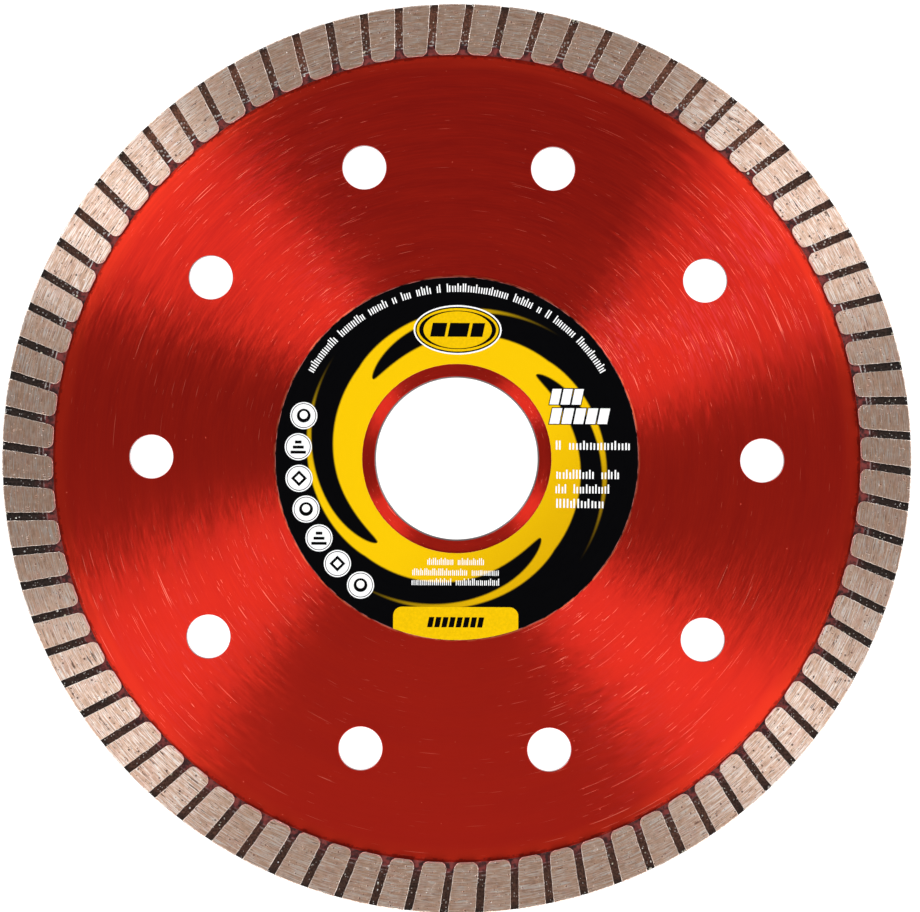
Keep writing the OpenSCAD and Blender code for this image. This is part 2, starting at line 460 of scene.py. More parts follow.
def raw_bond():
    """Groove floors and walls, as they left the mould: dark and lumpy, browner towards +Y and -Y as
    painted light, darker towards the outer edge as painted shade, redder towards the lacquer, with a
    painted glint line before the ledge."""
    s = Shader("raw_bond", Specular_IOR_Level=0.18)
    r = s.polar[0]
    height = s.along("Y")
    lumps = s.grain(3.2, 3.0, 0.6)
    # painted light: a lit copy of the bond towards +Y and -Y, a shaded copy elsewhere
    painted_light_along_y = s.times(s.math("ADD", s.step(height, 12.0, 50.0), s.step(height, -12.0, -54.0, 0.0, 0.45)),
                  s.step(s.grain(0.12, 2.0, offset=40.0), 0.3, 0.6, 0.4, 1.0))
    shaded_bond = s.mix(s.step(lumps, 0.3, 0.7), (0.016, 0.011, 0.009, 1), (0.055, 0.034, 0.027, 1))
    lit_bond = s.mix(s.step(lumps, 0.3, 0.7), (0.075, 0.030, 0.018, 1), (0.310, 0.130, 0.082, 1))
    base = s.mix(painted_light_along_y, shaded_bond, lit_bond)
    # painted shade: the floors darken towards the outer edge
    base = s.mix(s.step(r, BLADE_R - 1.2, BLADE_R - 0.1, 0.0, 0.75), base, (0.012, 0.009, 0.008, 1))
    spray = s.times(s.step(r, CORE_R + 1.6, PAD_INNER_R + 0.3), s.step(lumps, 0.3, 0.6, 0.25, 0.8))
    base = s.mix(spray, base, (0.20, 0.040, 0.036, 1))

    # bright drops of bond on the floors, with more of them towards +Y as painted glints
    painted_glint_share = s.times(s.step(height, 5.0, 45.0, 0.0, 0.6), s.step(r, BLADE_R - 1.2, BLADE_R - 3.6))
    drops = s.math("MAXIMUM", s.specks(3.4, 0.10, 0.22, offset=2.0), s.specks(2.2, 0.17, painted_glint_share, offset=7.0))
    # painted highlight: a broken bright line across each floor before the ledge, stronger towards +Y
    painted_glint_line = s.times(s.step(r, CORE_R + 0.3, CORE_R + 0.4), s.step(r, CORE_R + 0.62, CORE_R + 0.5),
                   s.step(s.grain(2.6, 1.0, offset=31.0), 0.45, 0.6, 0.0, 0.8),
                   s.step(height, -15.0, 30.0, 0.3, 1.0))
    shiny = s.math("MAXIMUM", drops, painted_glint_line)
    base = s.mix(s.times(shiny, 0.9), base, (1.0, 0.95, 0.9, 1))
    s.set(Base_Color=base, Metallic=s.blend(shiny, 0.15, 1.0), Roughness=s.blend(shiny, 0.6, 0.3),
          Normal=s.bump(s.math("ADD", lumps, shiny), 0.06))
    return s.material


def edge_bond():
    """Worn arrises, chipped, lighter from wear and as a painted highlight, and the cutting face, darker
    and rough.
    """
    s = Shader("edge_bond", Metallic=0.85)
    r = s.polar[0]
    lumps = s.grain(4.0, 3.0, 0.6)
    # the arrises' light tone is partly wear and partly painted highlight
    base = s.mix(s.step(lumps, 0.3, 0.6), (0.42, 0.29, 0.23, 1), (1.0, 0.86, 0.76, 1))
    spray = s.step(r, PAD_INNER_R + 0.9, PAD_INNER_R + 0.3)
    base = s.mix(s.times(spray, 0.8), base, (0.85, 0.30, 0.27, 1))
    cutting_face = s.step(r, BLADE_R - 0.04, BLADE_R - 0.01)
    dark = s.mix(lumps, (0.10, 0.07, 0.055, 1), (0.40, 0.28, 0.21, 1))
    base = s.mix(s.times(cutting_face, 0.8), base, dark)
    s.set(Base_Color=base, Roughness=s.blend(lumps, 0.2, 0.45), Normal=s.bump(lumps, 0.07))
    return s.material


def diamond():
    """Synthetic crystals: pale yellow-green to clear, some smeared with bond."""
    s = Shader("diamond", IOR=2.4)
    smear = s.grain(2.6, 2.0, offset=6.0)
    base = s.mix(s.step(s.grain(0.8, 1.0), 0.4, 0.6), (0.80, 0.75, 0.55, 1), (0.98, 0.97, 0.94, 1))
    base = s.mix(s.step(smear, 0.45, 0.6), base, (0.20, 0.12, 0.09, 1))
    s.set(Base_Color=base, Roughness=s.step(smear, 0.45, 0.6, 0.08, 0.5),
          Transmission_Weight=s.step(smear, 0.45, 0.6, 0.35, 0.0), Normal=s.bump(smear, 0.01))
    return s.material


LABEL_YELLOW = ink(231, 186, 3)
# the label's yellow in painted shade
LABEL_YELLOW_IN_SHADE = ink(207, 161, 3)
LABEL_BLACK = (0.0008, 0.0008, 0.0012, 1)
# Black arms start at a tip inside the yellow disc and sweep outwards and round it. Beyond each arm
# runs a yellow tail, which fades out.
ARMS = 4
ARM_TIP = math.radians(137)
TIP_R, TIP_LENGTH, TIP_SWEEP = 15.9, 0.3, 0.85
ARM_HALF_W, ARM_SPREAD, TAIL_SPREAD = 1.05, 0.33, 0.75
YELLOW_R, FADE_R = 18.35, 22.1
PRINT_BLUR = 0.16


def label_film():
    """Printed film: black, with a yellow disc and black arms and yellow tails that sweep round it."""
    s = Shader("label", Specular_IOR_Level=0.03)
    r = s.polar[0]
    turns = s.math("MULTIPLY_ADD", s.azimuth, -ARMS / math.tau, ARM_TIP * ARMS / math.tau + ARMS)
    along = s.math("FRACT", turns)
    tip = s.math("SUBTRACT", 1.0, s.math("MINIMUM", s.math("DIVIDE", along, TIP_LENGTH), 1.0))
    half = s.math("SQRT", s.math("SUBTRACT", 1.0, s.times(tip, tip)))
    half = s.times(half, s.math("MULTIPLY_ADD", along, ARM_SPREAD, ARM_HALF_W))
    reach = s.math("POWER", along, TIP_SWEEP)
    centre_r = s.math("MULTIPLY_ADD", reach, YELLOW_R + ARM_HALF_W + ARM_SPREAD - TIP_R, TIP_R)
    outer_r = s.math("MULTIPLY_ADD", reach, FADE_R - YELLOW_R, YELLOW_R)

    def inside(edge):
        return s.step(s.math("SUBTRACT", edge, r), -PRINT_BLUR, PRINT_BLUR)

    disc = inside(s.math("SUBTRACT", centre_r, half))
    arm_outer = s.math("MULTIPLY_ADD", half, s.math("MULTIPLY_ADD", along, TAIL_SPREAD, 1.0), centre_r)
    tail = s.times(s.math("SUBTRACT", inside(outer_r), inside(arm_outer)), s.step(along, 1.0, 0.35))
    yellow = s.math("MAXIMUM", disc, tail, clamp=True)
    # painted shade: the yellow darkens towards +X and -Y
    painted_shade_ramp = s.math("ADD", s.times(s.along("X"), 0.02), s.times(s.along("Y"), -0.02))
    yellow_in_painted_shade = s.mix(s.step(painted_shade_ramp, 0.05, 0.6), LABEL_YELLOW, LABEL_YELLOW_IN_SHADE)
    base = s.mix(yellow, LABEL_BLACK, yellow_in_painted_shade)

    # painted highlight: a pinkish line in places round the label's outer and inner edges
    painted_edge_glint = s.math("MAXIMUM", s.step(r, LABEL_R - 0.12, LABEL_R - 0.03),
                    s.step(r, LABEL_BORE_R + 0.05, LABEL_BORE_R))
    painted_edge_glint = s.times(painted_edge_glint, s.step(s.streaks(1.0, 18.0, 2.0), 0.35, 0.6))
    base = s.mix(painted_edge_glint, base, (0.42, 0.13, 0.11, 1))
    fibre = s.grain(5.0, 3.0)
    scuff = s.streaks(6.0, 9.0, 2.0, seed=90.0)
    s.set(Base_Color=base, Roughness=s.blend(scuff, 0.35, 0.6), Normal=s.bump(fibre, 0.002))
    return s.material


def printing_ink(name, colour):
    """Flat ink on the label, a little uneven."""
    s = Shader(name, Specular_IOR_Level=0.03)
    uneven = s.grain(3.0, 3.0)
    darker = tuple(c * 0.9 for c in colour[:3]) + (1,)
    s.set(Base_Color=s.mix(s.step(uneven, 0.3, 0.7), colour, darker), Roughness=s.blend(uneven, 0.4, 0.55),
          Normal=s.bump(uneven, 0.001))
    return s.material


# ------------------------ the rim
def groove_wall(side):
    """Points in plan along one wall of a groove, from the outer edge to the pad's inner end, in the
    groove's own frame: its origin is where its centre line leaves the outer edge, and +X points out
    along it. Point LEDGE stands over the core's edge."""
    hub = Vector((-BLADE_R * math.cos(GROOVE_LEAN), -BLADE_R * math.sin(GROOVE_LEAN)))
    y = side * GROOVE_W / 2

    def x_at(radius, y):
        return hub.x + math.sqrt(radius ** 2 - (y - hub.y) ** 2)

    start, ledge = x_at(BLADE_R, y), x_at(CORE_R, y)
    points = [(start + (ledge - start) * i / LEDGE, y) for i in range(LEDGE + 1)]
    centre_y = y + side * PAD_CORNER_R
    centre = Vector((x_at(PAD_INNER_R + PAD_CORNER_R, centre_y), centre_y))
    points.append((centre.x, y))
    first = -side * math.pi / 2
    last = math.atan2(hub.y - centre.y, hub.x - centre.x)
    if side < 0:
        last += 2 * math.pi
    for i in range(1, CORNER_STEPS + 1):
        a = first + (last - first) * i / CORNER_STEPS
        points.append((centre.x + PAD_CORNER_R * math.cos(a), centre.y + PAD_CORNER_R * math.sin(a)))
    return points


def in_plan(points, turn):
    """Points of a groove's own frame, placed for the groove that leaves the outer edge at angle turn."""
    c, s = math.cos(turn - GROOVE_LEAN), math.sin(turn - GROOVE_LEAN)
    ox, oy = BLADE_R * math.cos(turn), BLADE_R * math.sin(turn)
    return [(ox + c * x - s * y, oy + s * x + c * y) for x, y in points]


def angle_of(p):
    return math.atan2(p[1], p[0])


def arc_between(p, q, radius, steps):
    """Points on a circle about the axis from p to q, both ends included, anticlockwise."""
    a, b = angle_of(p), angle_of(q)
    if b < a:
        b += 2 * math.pi
    middle = [a + (b - a) * i / steps for i in range(1, steps)]
    return [p] + [(radius * math.cos(m), radius * math.sin(m)) for m in middle] + [q]


def wobble(wall, rng):
    """Moves the points of a wall a little, as a worn edge wanders. The first point stays on the outer
    edge, and point LEDGE on the core's edge."""
    off = WALL_WANDER
    return [p if i in (0, LEDGE) else (p[0] + rng.uniform(-off, off), p[1] + rng.uniform(-off, off))
            for i, p in enumerate(wall)]


def inset_loop(loop, amounts):
    """The loop (anticlockwise) moved inwards by its own amount at each point."""
    n = len(loop)
    out = []
    for i, p in enumerate(loop):
        a, b = loop[i - 1], loop[(i + 1) % n]
        d1 = Vector((p[0] - a[0], p[1] - a[1])).normalized()
        d2 = Vector((b[0] - p[0], b[1] - p[1])).normalized()
        normal = Vector((-(d1.y + d2.y), d1.x + d2.x))
        if normal.length < SHORTEST:
            normal = Vector((-d1.y, d1.x))
        normal.normalize()
        scale = 1 / max(0.5, normal.dot(Vector((-d1.y, d1.x))))
        out.append((p[0] + normal.x * amounts[i] * scale, p[1] + normal.y * amounts[i] * scale))
    return out


GROUND, RAW, EDGE = 0, 1, 2


def pad_face(shell, rng, outline, outer_points, flip):
    """The ground face of a pad inside its worn arrises. The outline's first outer_points points are on
    the outer edge. Returns the point where the pad's wall starts, for each point of the outline."""
    wear = [RIM_BEVEL * rng.uniform(*BEVEL_WEAR) if i < outer_points else rng.uniform(*EDGE_WEAR)
            for i in range(len(outline))]
    drops = [RIM_BEVEL if i < outer_points else min(wear[i], DEEPEST_WEAR) for i in range(len(outline))]
    top = inset_loop(outline, wear)
    mid = inset_loop(outline, [inset * MID_BEVEL for inset in wear])
    row_low = [(x, y, flip * (PAD_Z - drop)) for (x, y), drop in zip(outline, drops)]
    row_mid = [(x, y, flip * (PAD_Z - MID_BEVEL * drop)) for (x, y), drop in zip(mid, drops)]
    row_top = at_height(top, flip * PAD_Z)
    shell.band(row_low, row_mid, EDGE)
    shell.band(row_mid, row_top, EDGE)
    shell.face(row_top, GROUND)
    return dict(zip(outline, row_low))


def pad_wall(shell, line, top_of_wall, flip):
    """The wall of a pad under one side of its outline, down to the groove's floor as far as the core's
    edge, and from there to the core's face."""
    for i, (p, q) in enumerate(zip(line, line[1:])):
        foot = GROOVE_FLOOR_Z if i < LEDGE else CORE_Z
        face = at_height((p, q), flip * foot)
        if i == LEDGE - 1:
            face += at_height((q,), flip * CORE_Z)
        shell.face(face + [top_of_wall[q], top_of_wall[p]], RAW)


def rim_side(shell, rng, first, flip):
    """The pads and grooves of one face, which looks along +Z for flip 1 and along -Z for flip -1.
    Returns the arcs (points, height) in which they meet the outer and the inner cylinder."""
    walls = []
    for g in range(GROOVES):
        walls.append([wobble(in_plan(groove_wall(side), first + g * PITCH), rng) for side in (-1, 1)])
    outer, inner = [], []
    for g, (here_right, here_left) in enumerate(walls):
        next_right = walls[(g + 1) % GROOVES][0]
        floor_outer = arc_between(here_right[0], here_left[0], BLADE_R, FLOOR_ARC_STEPS)
        floor_inner = arc_between(here_right[LEDGE], here_left[LEDGE], CORE_R, FLOOR_ARC_STEPS)
        floor = floor_outer + here_left[1:LEDGE] + floor_inner[::-1] + here_right[1:LEDGE][::-1]
        shell.face(at_height(floor, flip * GROOVE_FLOOR_Z), RAW)

        # the pad's outline runs anticlockwise, from this groove's left wall to the next one's right wall
        pad_outer = arc_between(here_left[0], next_right[0], BLADE_R, PAD_ARC_STEPS)
        pad_inner = arc_between(here_left[-1], next_right[-1], PAD_INNER_R, PAD_ARC_STEPS)
        end = pad_inner[::-1][1:-1]
        outline = pad_outer + next_right[1:] + end + here_left[1:][::-1]
        top_of_wall = pad_face(shell, rng, outline, len(pad_outer), flip)

        # the underside of the part that lies on the core
        pad_ledge = arc_between(here_left[LEDGE], next_right[LEDGE], CORE_R, PAD_ARC_STEPS)
        under = pad_ledge + next_right[LEDGE + 1:] + end + here_left[LEDGE + 1:][::-1]
        shell.face(at_height(under, flip * CORE_Z), RAW)
        pad_wall(shell, next_right, top_of_wall, flip)
        pad_wall(shell, here_left, top_of_wall, flip)
        for p, q in zip(pad_inner, pad_inner[1:]):
            shell.face(at_height((p, q), flip * CORE_Z) + [top_of_wall[q], top_of_wall[p]], RAW)
        outer += [(floor_outer, GROOVE_FLOOR_Z), (pad_outer, PAD_Z - RIM_BEVEL)]
        inner += [(floor_inner, GROOVE_FLOOR_Z), (pad_ledge, CORE_Z)]
    return outer, inner


def rim_cylinder(shell, front_arcs, back_arcs, slot):
    """Joins the arcs of both faces over one cylinder. They meet at mid-thickness in a line that has all
    the points of both."""
    def key(p):
        """The point's angle, rounded so that a point of both faces is known as one."""
        return round(angle_of(p) % (2 * math.pi), 7)

    line = {}
    for arc, _ in front_arcs + back_arcs:
        for p in arc:
            line.setdefault(key(p), p)
    line = sorted(line.items())
    line += [(angle + 2 * math.pi, p) for angle, p in line]
    for flip, arcs in ((1, front_arcs), (-1, back_arcs)):
        for arc, z in arcs:
            a, b = key(arc[0]), key(arc[-1])
            if b < a:
                b += 2 * math.pi
            top = at_height(arc, flip * z)
            middle = at_height([p for angle, p in reversed(line) if a <= angle <= b], 0.0)
            if z == GROOVE_FLOOR_Z:
                shell.face(top + middle, slot)
            else:
                # the grooves beside a pad are deeper, so the corners of their floors lie on its sides
                first, last = at_height((arc[0], arc[-1]), flip * GROOVE_FLOOR_Z)
                shell.face(top + [last] + middle + [first], slot)


def build_rim(materials):
    rng = random.Random(11)
    shell = Shell()
    front_outer, front_inner = rim_side(shell, rng, GROOVE_START, 1)
    back_outer, back_inner = rim_side(shell, rng, GROOVE_START + PITCH / 2, -1)
    rim_cylinder(shell, front_outer, back_outer, EDGE)
    rim_cylinder(shell, front_inner, back_inner, RAW)
    make_piece("turbo_rim", shell, "diamond_rim", materials)


# ------------------------ core, lacquer and label
def build_core(material):
    shell = Shell()
    span = (CORE_Z, -CORE_Z)
    outlines = [rounded_edge(CORE_R, BLADE_SIDES, *span, CORE_ROUND, CORE_ROUND, OUTER),
                rounded_edge(BORE_R, BORE_SIDES, *span, BORE_BEVEL, BORE_BEVEL, HOLE)]
    outlines += [rounded_edge(HOLE_R, HOLE_SIDES, *span, HOLE_ROUND, HOLE_ROUND, HOLE, centre)
                 for centre in circle(HOLE_RING_R, HOLES)]
    shell.plate(outlines)
    make_piece("steel_blank", shell, "steel_core", [material])


def build_lacquer(name, node, flip, material):
    """One coat: a film with soft edges, on the upper face for flip 1 and the lower face for flip -1."""
    shell = Shell()
    soft = (LACQUER_Z - CORE_Z) * SOFT_SHARE
    span = (LACQUER_Z, CORE_Z)
    outlines = [rounded_edge(PAD_INNER_R - LACQUER_GAP, BLADE_SIDES, *span, soft, 0.0, OUTER),
                rounded_edge(LACQUER_BORE_R, BORE_SIDES, *span, soft, 0.0, HOLE)]
    outlines += [rounded_edge(HOLE_R + LACQUER_HOLE_GAP, HOLE_SIDES, *span, soft, 0.0, HOLE, centre)
                 for centre in circle(HOLE_RING_R, HOLES)]
    shell.plate(outlines)
    shell.verts = [(x, y, z * flip) for x, y, z in shell.verts]
    make_piece(name, shell, node, [material])


def build_label(material):
    shell = Shell()
    span = (LABEL_Z, LACQUER_Z)
    shell.plate([rounded_edge(LABEL_R, LABEL_SIDES, *span, LABEL_ROUND, 0.0, OUTER),
                 rounded_edge(LABEL_BORE_R, LABEL_BORE_SIDES, *span, LABEL_ROUND, 0.0, HOLE)])
    make_piece("ring_label", shell, "front_label", [material])


# ------------------------ printing on the label
WHITE, BLACK, YELLOW = 0, 1, 2
INK_T = 0.006
SLANT = 0.2


def prism(shell, loop, layer, slot):
    """A layer of ink with the plan of a loop (anticlockwise, convex)."""
    low, high = LABEL_Z - INK_T, LABEL_Z + INK_T * layer
    shell.band(at_height(loop, low), at_height(loop, high), slot)
    shell.face(at_height(loop, high), slot)
    shell.face(at_height(loop[::-1], low), slot)


def ellipse(cx, cy, half_w, half_h):
    """Points on an ellipse round cx, cy."""
    return [(cx + half_w * x, cy + half_h * y) for x, y in circle(1.0, BADGE_SIDES)]


def flat_line(x, y):
    """Places print on a straight line that starts at x, y."""
    return lambda along, up: (x + along, y + up)


def ring_line(radius, start_deg):
    """Places print on a circle round the axis, clockwise from an azimuth."""
    def place(along, up):
        a = math.radians(start_deg) - along / radius
        return ((radius + up) * math.cos(a), (radius + up) * math.sin(a))
    return place


def bar(shell, place, x0, x1, y0, y1, layer, slot, slant=0.0):
    """A rectangle of ink, leant over to the right by slant."""
    corners = [(x0 + slant * y0, y0), (x1 + slant * y0, y0), (x1 + slant * y1, y1), (x0 + slant * y1, y1)]
    prism(shell, [place(x, y) for x, y in corners], layer, slot)


WORD_GAP = 0.9                           # gaps and strokes, as shares of a letter's room
STROKE_W = 0.24
SECOND_STROKE = (0.42, 0.52)
TALL, SHORT, MIDDLING = 0.5, 0.22, 0.28  # tops of the strokes above mid-line, as shares of the height


def blind_text(shell, rng, place, length, height, words):
    """A line of plain thin strokes, two to a letter's room, that stands in for small print. It spells
    nothing. words holds the number of letters' rooms in each word."""
    pitch = length / (sum(words) + WORD_GAP * (len(words) - 1))
    stroke = pitch * STROKE_W
    at = 0.0
    for word in words:
        for _ in range(word):
            for x0 in (at, at + pitch * rng.uniform(*SECOND_STROKE)):
                top = height * rng.choice((TALL, SHORT, SHORT, MIDDLING))
                bar(shell, place, x0, x0 + stroke, -height / 2, top, 3, WHITE)
            at += pitch
        at += pitch * WORD_GAP


TITLE_H, TITLE_OUTLINE, TITLE_PITCH = 2.15, 0.12, 1.22


def blind_title(shell, place, blocks, block_w):
    """Large slanted white blocks with a black outline, in place of a title."""
    half_h = TITLE_H / 2
    border = TITLE_OUTLINE
    pitch = block_w * TITLE_PITCH
    for i in range(blocks):
        x0, x1 = i * pitch, i * pitch + block_w
        bar(shell, place, x0 - border, x1 + border, -half_h - border, half_h + border, 2, BLACK, SLANT)
        bar(shell, place, x0, x1, -half_h, half_h, 3, WHITE, SLANT)


# A border is given by how far it lies inside the edge, its layer and its ink.
BADGE = (0.0, 17.7, 6.05, 3.4)           # centre, half width and half height
BADGE_BORDERS = ((0.0, 2, WHITE), (0.22, 3, BLACK), (0.42, 4, YELLOW), (0.75, 5, BLACK))
BADGE_FIELD_IN_X, BADGE_FIELD_IN_Y = 1.35, 0.85
BADGE_BARS, BADGE_BAR_HALF_H = ((-3.6, -1.6), (-1.2, 1.5), (1.9, 3.6)), 0.95
BADGE_SIDES = 64
TAB_HALF_W, TAB_TOP, TAB_CORNER_R = 8.6, -20.4, 1.2
TAB_GAP = 0.06                           # from the tab to the label's edge
TAB_CORNER_STEPS, TAB_ARC_STEPS = 6, 24
TAB_STROKES_X, TAB_STROKES_Y = -3.8, -22.5
TAB_STROKES, TAB_STROKE_W, TAB_STROKE_PITCH, TAB_STROKE_HALF_H = 8, 0.72, 0.98, 0.7
DISC_RING_R, DISC_MARK_R, DISC_COUNT, DISC_SIDES = 21.85, 1.87, 7, 40
DISC_FIRST, DISC_STEP = math.radians(164.7), math.radians(11.4)
DISC_BORDERS = ((0.0, 2, WHITE), (0.17, 3, BLACK), (0.27, 4, WHITE))
RING_R, RING_HOLE_R, RING_HOLE_UP, RING_SIDES = 0.95, 0.55, 0.1, 24
STACK_BARS, STACK_HALF_W, STACK_NARROWING = 3, 1.05, 0.3
STACK_FOOT, STACK_BAR_H, STACK_RISE = -0.95, 0.4, 0.7
DIAMOND_R, DIAMOND_HOLE_R = 1.1, 0.6

# lines of print, with the number of letters' rooms in each word
TOP_LINE_R, TOP_LINE_START_DEG, TOP_LINE_SPAN_DEG, TOP_LINE_H = 23.5, 149.5, 119, 1.15
TOP_LINE_WORDS = (8, 6, 4, 1, 2, 3, 1, 12, 4, 1, 1, 5, 8)
# left end, right end and mid-line
RIGHT_LINES = ((13.6, 24.1, 1.95, (1, 9)), (13.7, 22.6, -2.05, (6, 3)),
               (13.6, 21.2, -4.05, (2, 6)), (13.7, 20.5, -6.05, (7,)))
RIGHT_LINE_H = 1.25
# half the length and mid-line
FOOT_LINES = ((3.95, -14.15, (7, 7)), (6.0, -15.6, (14, 7)), (6.1, -16.95, (10, 11)))
FOOT_LINE_H = 0.95
# mid-line, number of blocks and width of a block
TITLES = ((8.6, 3, 1.25), (5.95, 5, 1.35))
TITLE_X = 12.9


def badge(shell):
    """An oval plate with a white and a black border, and three plain slanted bars on it."""
    cx, cy, half_w, half_h = BADGE
    for inset, layer, slot in BADGE_BORDERS:
        prism(shell, ellipse(cx, cy, half_w - inset, half_h - inset), layer, slot)
    prism(shell, ellipse(cx, cy, half_w - BADGE_FIELD_IN_X, half_h - BADGE_FIELD_IN_Y), 6, YELLOW)
    line = flat_line(cx, cy)
    for x0, x1 in BADGE_BARS:
        bar(shell, line, x0, x1, -BADGE_BAR_HALF_H, BADGE_BAR_HALF_H, 7, BLACK, SLANT)


def stock_tab(shell):
    """The yellow tab at the foot of the label, with a row of plain black strokes."""
    edge_r = LABEL_R - TAB_GAP
    loop = []
    for side, first in ((1, 0), (-1, math.pi / 2)):
        cx, cy = side * (TAB_HALF_W - TAB_CORNER_R), TAB_TOP - TAB_CORNER_R
        for i in range(TAB_CORNER_STEPS + 1):
            a = math.pi / 2 * i / TAB_CORNER_STEPS + first
            loop.append((cx + TAB_CORNER_R * math.cos(a), cy + TAB_CORNER_R * math.sin(a)))
    reach = math.asin(TAB_HALF_W / edge_r)
    for i in range(TAB_ARC_STEPS + 1):
        a = -math.pi / 2 - reach + 2 * reach * i / TAB_ARC_STEPS
        loop.append((edge_r * math.cos(a), edge_r * math.sin(a)))
    prism(shell, loop, 2, YELLOW)
    line = flat_line(TAB_STROKES_X, TAB_STROKES_Y)
    for i in range(TAB_STROKES):
        x0 = i * TAB_STROKE_PITCH
        bar(shell, line, x0, x0 + TAB_STROKE_W, -TAB_STROKE_HALF_H, TAB_STROKE_HALF_H, 3, BLACK, SLANT)


def disc_marks(shell):
    """Seven round white marks, each with a ring, three bars or a diamond as its plain figure."""
    for i in range(DISC_COUNT):
        a = DISC_FIRST + DISC_STEP * i
        cx, cy = DISC_RING_R * math.cos(a), DISC_RING_R * math.sin(a)
        for inset, layer, slot in DISC_BORDERS:
            prism(shell, circle(DISC_MARK_R - inset, DISC_SIDES, (cx, cy)), layer, slot)
        line = flat_line(cx, cy)
        if i % 3 == 0:
            prism(shell, circle(RING_R, RING_SIDES, (cx, cy)), 5, BLACK)
            prism(shell, circle(RING_HOLE_R, RING_SIDES, (cx, cy + RING_HOLE_UP)), 6, WHITE)
        elif i % 3 == 1:
            for step in range(STACK_BARS):
                half = STACK_HALF_W - STACK_NARROWING * step
                foot = STACK_FOOT + STACK_RISE * step
                bar(shell, line, -half, half, foot, foot + STACK_BAR_H, 5, BLACK)
        else:
            prism(shell, circle(DIAMOND_R, 4, (cx, cy)), 5, BLACK)
            prism(shell, circle(DIAMOND_HOLE_R, 4, (cx, cy)), 6, WHITE)


def build_prints():
    rng = random.Random(3)
    shell = Shell()
    badge(shell)
    stock_tab(shell)
    disc_marks(shell)
    top_line = ring_line(TOP_LINE_R, TOP_LINE_START_DEG)
    length = math.radians(TOP_LINE_SPAN_DEG) * TOP_LINE_R
    blind_text(shell, rng, top_line, length, TOP_LINE_H, TOP_LINE_WORDS)
    for y, blocks, block_w in TITLES:
        blind_title(shell, flat_line(TITLE_X, y), blocks, block_w)
    for x0, x1, y, words in RIGHT_LINES:
        blind_text(shell, rng, flat_line(x0, y), x1 - x0, RIGHT_LINE_H, words)
    for half, y, words in FOOT_LINES:
        blind_text(shell, rng, flat_line(-half, y), 2 * half, FOOT_LINE_H, words)
    inks = [printing_ink("white_ink", (0.93, 0.93, 0.93, 1)), printing_ink("black_ink", LABEL_BLACK),
            printing_ink("yellow_ink", LABEL_YELLOW)]
    make_piece("label_printing", shell, None, inks)


# ------------------------ diamond crystals
def crystal():
    """A truncated octahedron, the shape of a blocky synthetic diamond, one unit across."""
    points = set()
    for a, b in ((1, 2), (2, 1)):
        for s in (1, -1):
            for t in (1, -1):
                points |= {(0, a * s, b * t), (a * s, 0, b * t), (a * s, b * t, 0)}
    bm = bmesh.new()
    for p in sorted(points):
        bm.verts.new([v / 4.0 for v in p])
    bmesh.ops.convex_hull(bm, input=bm.verts)
    bmesh.ops.dissolve_limit(bm, angle_limit=0.02, verts=bm.verts, edges=bm.edges)
    bm.verts.index_update()
    verts = [v.co.copy() for v in bm.verts]
    faces = [[v.index for v in f.verts] for f in bm.faces]
    bm.free()
    return verts, faces


PAD_CRYSTALS, WALL_CRYSTALS, EDGE_CRYSTALS = (3, 8), (0, 9), 900
PAD_SIZE, WALL_SIZE, EDGE_SIZE = (0.16, 0.36), (0.12, 0.26), (0.25, 0.42)
PAD_DEPTH, EDGE_DEPTH = 0.47, 0.35       # how far a crystal's centre is sunk, as shares of its size
PAD_SHARES = (0.2, 0.85)                 # where on a pad, as shares of the pitch from a groove's start
CLEAR_OF_EDGE, CLEAR_OF_END, CLEAR_OF_FACE = 0.4, 0.5, 0.2
EDGE_BAND = (-0.25, 0.25)                # where on the cutting face, about mid-thickness
ANY_TURN, ANY_AZIMUTH = 6.28, 6.2832     # whole turns


def build_grit(material):
    """Crystals that show at the pads' faces, in the groove walls and on the cutting edge."""
    rng = random.Random(5)
    shape, faces = crystal()
    shell = Shell()

    def place(r, a, z, size):
        turn = Euler([rng.uniform(0, ANY_TURN) for _ in range(3)]).to_matrix()
        spot = Vector((r * math.cos(a), r * math.sin(a), z))
        shell.add([tuple(turn @ (v * size) + spot) for v in shape], faces)

    outermost = BLADE_R - CLEAR_OF_EDGE
    for flip, first in ((1, GROOVE_START), (-1, GROOVE_START + PITCH / 2)):
        for g in range(GROOVES):
            for _ in range(rng.randrange(*PAD_CRYSTALS)):
                size = rng.uniform(*PAD_SIZE)
                r = rng.uniform(PAD_INNER_R + CLEAR_OF_END, outermost)
                a = first + (g + rng.uniform(*PAD_SHARES)) * PITCH
                place(r, a, flip * (PAD_Z - size * PAD_DEPTH), size)
            for _ in range(rng.randrange(*WALL_CRYSTALS)):
                size = rng.uniform(*WALL_SIZE)
                r = rng.triangular(CORE_R, outermost, CORE_R + 1)
                lean = (BLADE_R - r) * math.tan(GROOVE_LEAN) / r
                wall = rng.choice((1, -1)) * GROOVE_W / 2 / r
                z = flip * rng.uniform(GROOVE_FLOOR_Z, PAD_Z - CLEAR_OF_FACE)
                place(r, first + g * PITCH - lean + wall, z, size)
    for _ in range(EDGE_CRYSTALS):
        size = rng.uniform(*EDGE_SIZE)
        a = rng.uniform(0, ANY_AZIMUTH)
        place(BLADE_R - size * EDGE_DEPTH, a, rng.uniform(*EDGE_BAND), size)
    make_piece("diamond_crystals", shell, "diamond_grit", [material], smooth_deg=5)


# ------------------------ build
build_core(bare_steel())
lacquer = red_lacquer()
build_lacquer("front_coat", "front_lacquer", 1, lacquer)
build_lacquer("back_coat", "back_lacquer", -1, lacquer)
build_label(label_film())
build_prints()
build_rim([ground_bond(), raw_bond(), edge_bond()])
build_grit(diamond())


# ------------------------ floor, light and camera
COOL, WARM = (0.96, 1.0, 1.04), (1.0, 0.965, 0.94)
